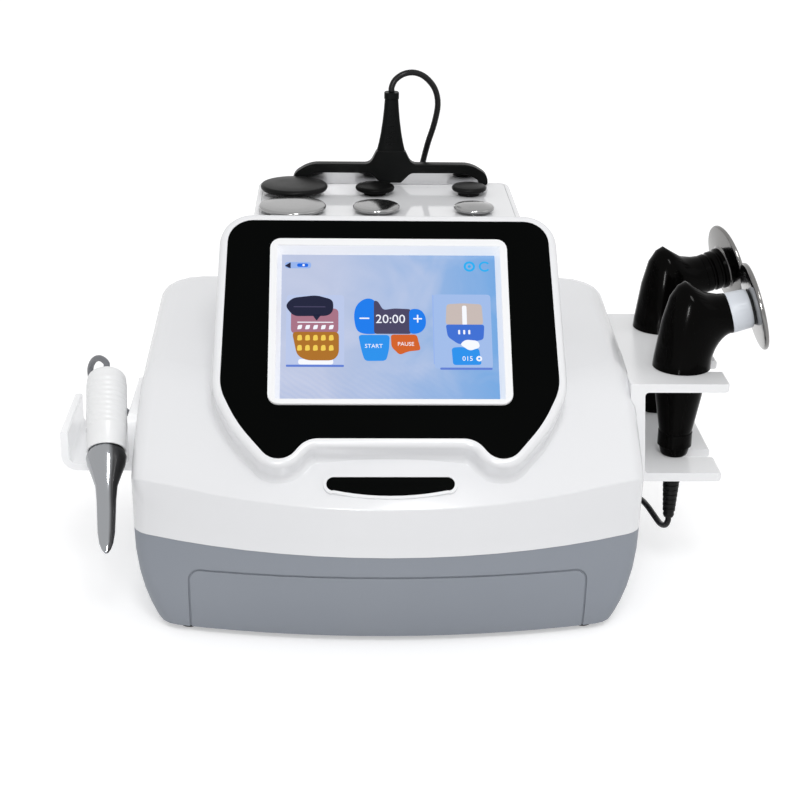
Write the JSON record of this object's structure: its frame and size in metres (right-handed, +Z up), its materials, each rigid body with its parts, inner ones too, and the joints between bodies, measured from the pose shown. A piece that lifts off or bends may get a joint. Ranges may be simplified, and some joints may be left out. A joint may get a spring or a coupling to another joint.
{
  "type": "tecar therapy machine",
  "caption": "Desktop radio-frequency therapy console with tilted touch screen, head tray, side brackets, handpieces, blade handpiece, return plate and coiled leads.",
  "frame": {"origin": "middle of the object's footprint on the surface that its feet stand on, at the bottom centre of its box", "axes": "+X to the right of the user who faces the screen, +Y away from the user, +Z up"},
  "size_m": [0.5502, 0.389, 0.3874],
  "materials": {
    "white_shell": "semi-gloss moulded",
    "grey_base": "fine-textured dark grey",
    "rear_panel": "dark powder coat",
    "foot_rubber": "matt",
    "black_gloss": "high gloss",
    "display": "lit screen behind glass",
    "black_plastic": "satin",
    "handpiece_black": "semi-gloss",
    "relief_black": "satin",
    "white_collar": "semi-gloss",
    "white_grip": "semi-gloss",
    "polished_steel": "polished",
    "chrome_blade": "mirror polished",
    "coated_head": "satin insulating coat",
    "black_lead": "satin",
    "grey_lead": "satin",
    "screw_steel": "plated",
    "inner_metal": "plain",
    "pocket_plastic": "plain",
    "board_green": "solder mask",
    "supply_tan": "plain",
    "rocker_red": "semi-gloss"
  },
  "bodies": {
    "console": {"upper_shell": "white_shell", "screen_frame": "white_shell", "electrode_tray": "white_shell", "left_cradle": "white_shell", "right_bracket": "white_shell", "grip_rest": "white_shell", "base_shell": "grey_base", "rear_panel": "rear_panel", "rubber_feet": "foot_rubber", "front_panel": "black_gloss", "front_window": "black_gloss", "touch_screen": "display", "mains_inlet": "black_plastic", "rocker_bezel": "black_plastic", "fan_frame": "black_plastic", "lead_plugs": "black_plastic", "lead_ties": "black_plastic", "front_lead": "black_lead", "front_lead_coil": "black_lead", "front_lead_tail": "black_lead", "plate_lead_coil": "black_lead", "plate_lead_tail": "black_lead", "blade_lead_coil": "grey_lead", "blade_lead_tail": "grey_lead", "bracket_screws": "screw_steel", "housing_screws": "screw_steel", "fan_guard": "screw_steel", "panel_sockets": "screw_steel", "chassis_plate": "inner_metal", "lcd_module": "inner_metal", "plate_pocket": "pocket_plastic", "rf_generator_board": "board_green", "main_board": "board_green", "power_supply": "supply_tan"},
    "front_handpiece": {"front_handpiece_shell": "handpiece_black", "front_handpiece_stem": "handpiece_black", "front_strain_relief": "relief_black"},
    "front_head": {"front_head_collar": "white_collar", "front_head_disc": "polished_steel"},
    "rear_handpiece": {"rear_handpiece_shell": "handpiece_black", "rear_handpiece_stem": "handpiece_black"},
    "rear_head": {"rear_head_collar": "handpiece_black", "rear_head_disc": "polished_steel"},
    "spare_steel_large": {"steel_head_large": "polished_steel"},
    "spare_steel_medium": {"steel_head_medium": "polished_steel"},
    "spare_steel_small": {"steel_head_small": "polished_steel"},
    "spare_black_large": {"black_head_large": "coated_head"},
    "spare_black_medium": {"black_head_medium": "coated_head"},
    "spare_black_small": {"black_head_small": "coated_head"},
    "blade_handpiece": {"blade_grip": "white_grip", "blade": "chrome_blade", "blade_lead": "grey_lead"},
    "return_electrode": {"return_plate": "polished_steel", "plate_handle": "black_plastic", "plate_strain_relief": "black_plastic", "plate_lead": "black_lead"},
    "power_rocker": {"mains_rocker": "rocker_red"},
    "cooling_fan": {"fan_rotor": "black_plastic"}
  },
  "joints": [
    {"name": "front_handpiece_lift", "type": "slide", "parent": "console", "child": "front_handpiece", "axis": [0, 0, 1], "range_m": [0, 0.14]},
    {"name": "front_head_pull", "type": "slide", "parent": "front_handpiece", "child": "front_head", "axis": [0.9636, 0, 0.2672], "range_m": [0, 0.03]},
    {"name": "rear_handpiece_lift", "type": "slide", "parent": "console", "child": "rear_handpiece", "axis": [0, 0, 1], "range_m": [0, 0.14]},
    {"name": "rear_head_pull", "type": "slide", "parent": "rear_handpiece", "child": "rear_head", "axis": [0.9459, 0.1839, 0.2672], "range_m": [0, 0.03]},
    {"name": "steel_large_lift", "type": "slide", "parent": "console", "child": "spare_steel_large", "axis": [0, 0, 1], "range_m": [0, 0.03]},
    {"name": "steel_medium_lift", "type": "slide", "parent": "console", "child": "spare_steel_medium", "axis": [0, 0, 1], "range_m": [0, 0.03]},
    {"name": "steel_small_lift", "type": "slide", "parent": "console", "child": "spare_steel_small", "axis": [0, 0, 1], "range_m": [0, 0.03]},
    {"name": "black_large_lift", "type": "slide", "parent": "console", "child": "spare_black_large", "axis": [0, 0, 1], "range_m": [0, 0.03]},
    {"name": "black_medium_lift", "type": "slide", "parent": "console", "child": "spare_black_medium", "axis": [0, 0, 1], "range_m": [0, 0.03]},
    {"name": "black_small_lift", "type": "slide", "parent": "console", "child": "spare_black_small", "axis": [0, 0, 1], "range_m": [0, 0.03]},
    {"name": "blade_handpiece_lift", "type": "slide", "parent": "console", "child": "blade_handpiece", "axis": [0, 0, 1], "range_m": [0, 0.06]},
    {"name": "return_plate_lift", "type": "slide", "parent": "console", "child": "return_electrode", "axis": [0, 0, 1], "range_m": [0, 0.155]},
    {"name": "rocker_tilt", "type": "hinge", "parent": "console", "child": "power_rocker", "pos_m": [-0.0915, 0.14, 0.044], "axis": [-1, 0, 0], "range_deg": [0, 22]},
    {"name": "fan_spin", "type": "hinge", "parent": "console", "child": "cooling_fan", "pos_m": [-0.0295, 0.13, 0.044], "axis": [0, 1, 0], "continuous": true}
  ]
}
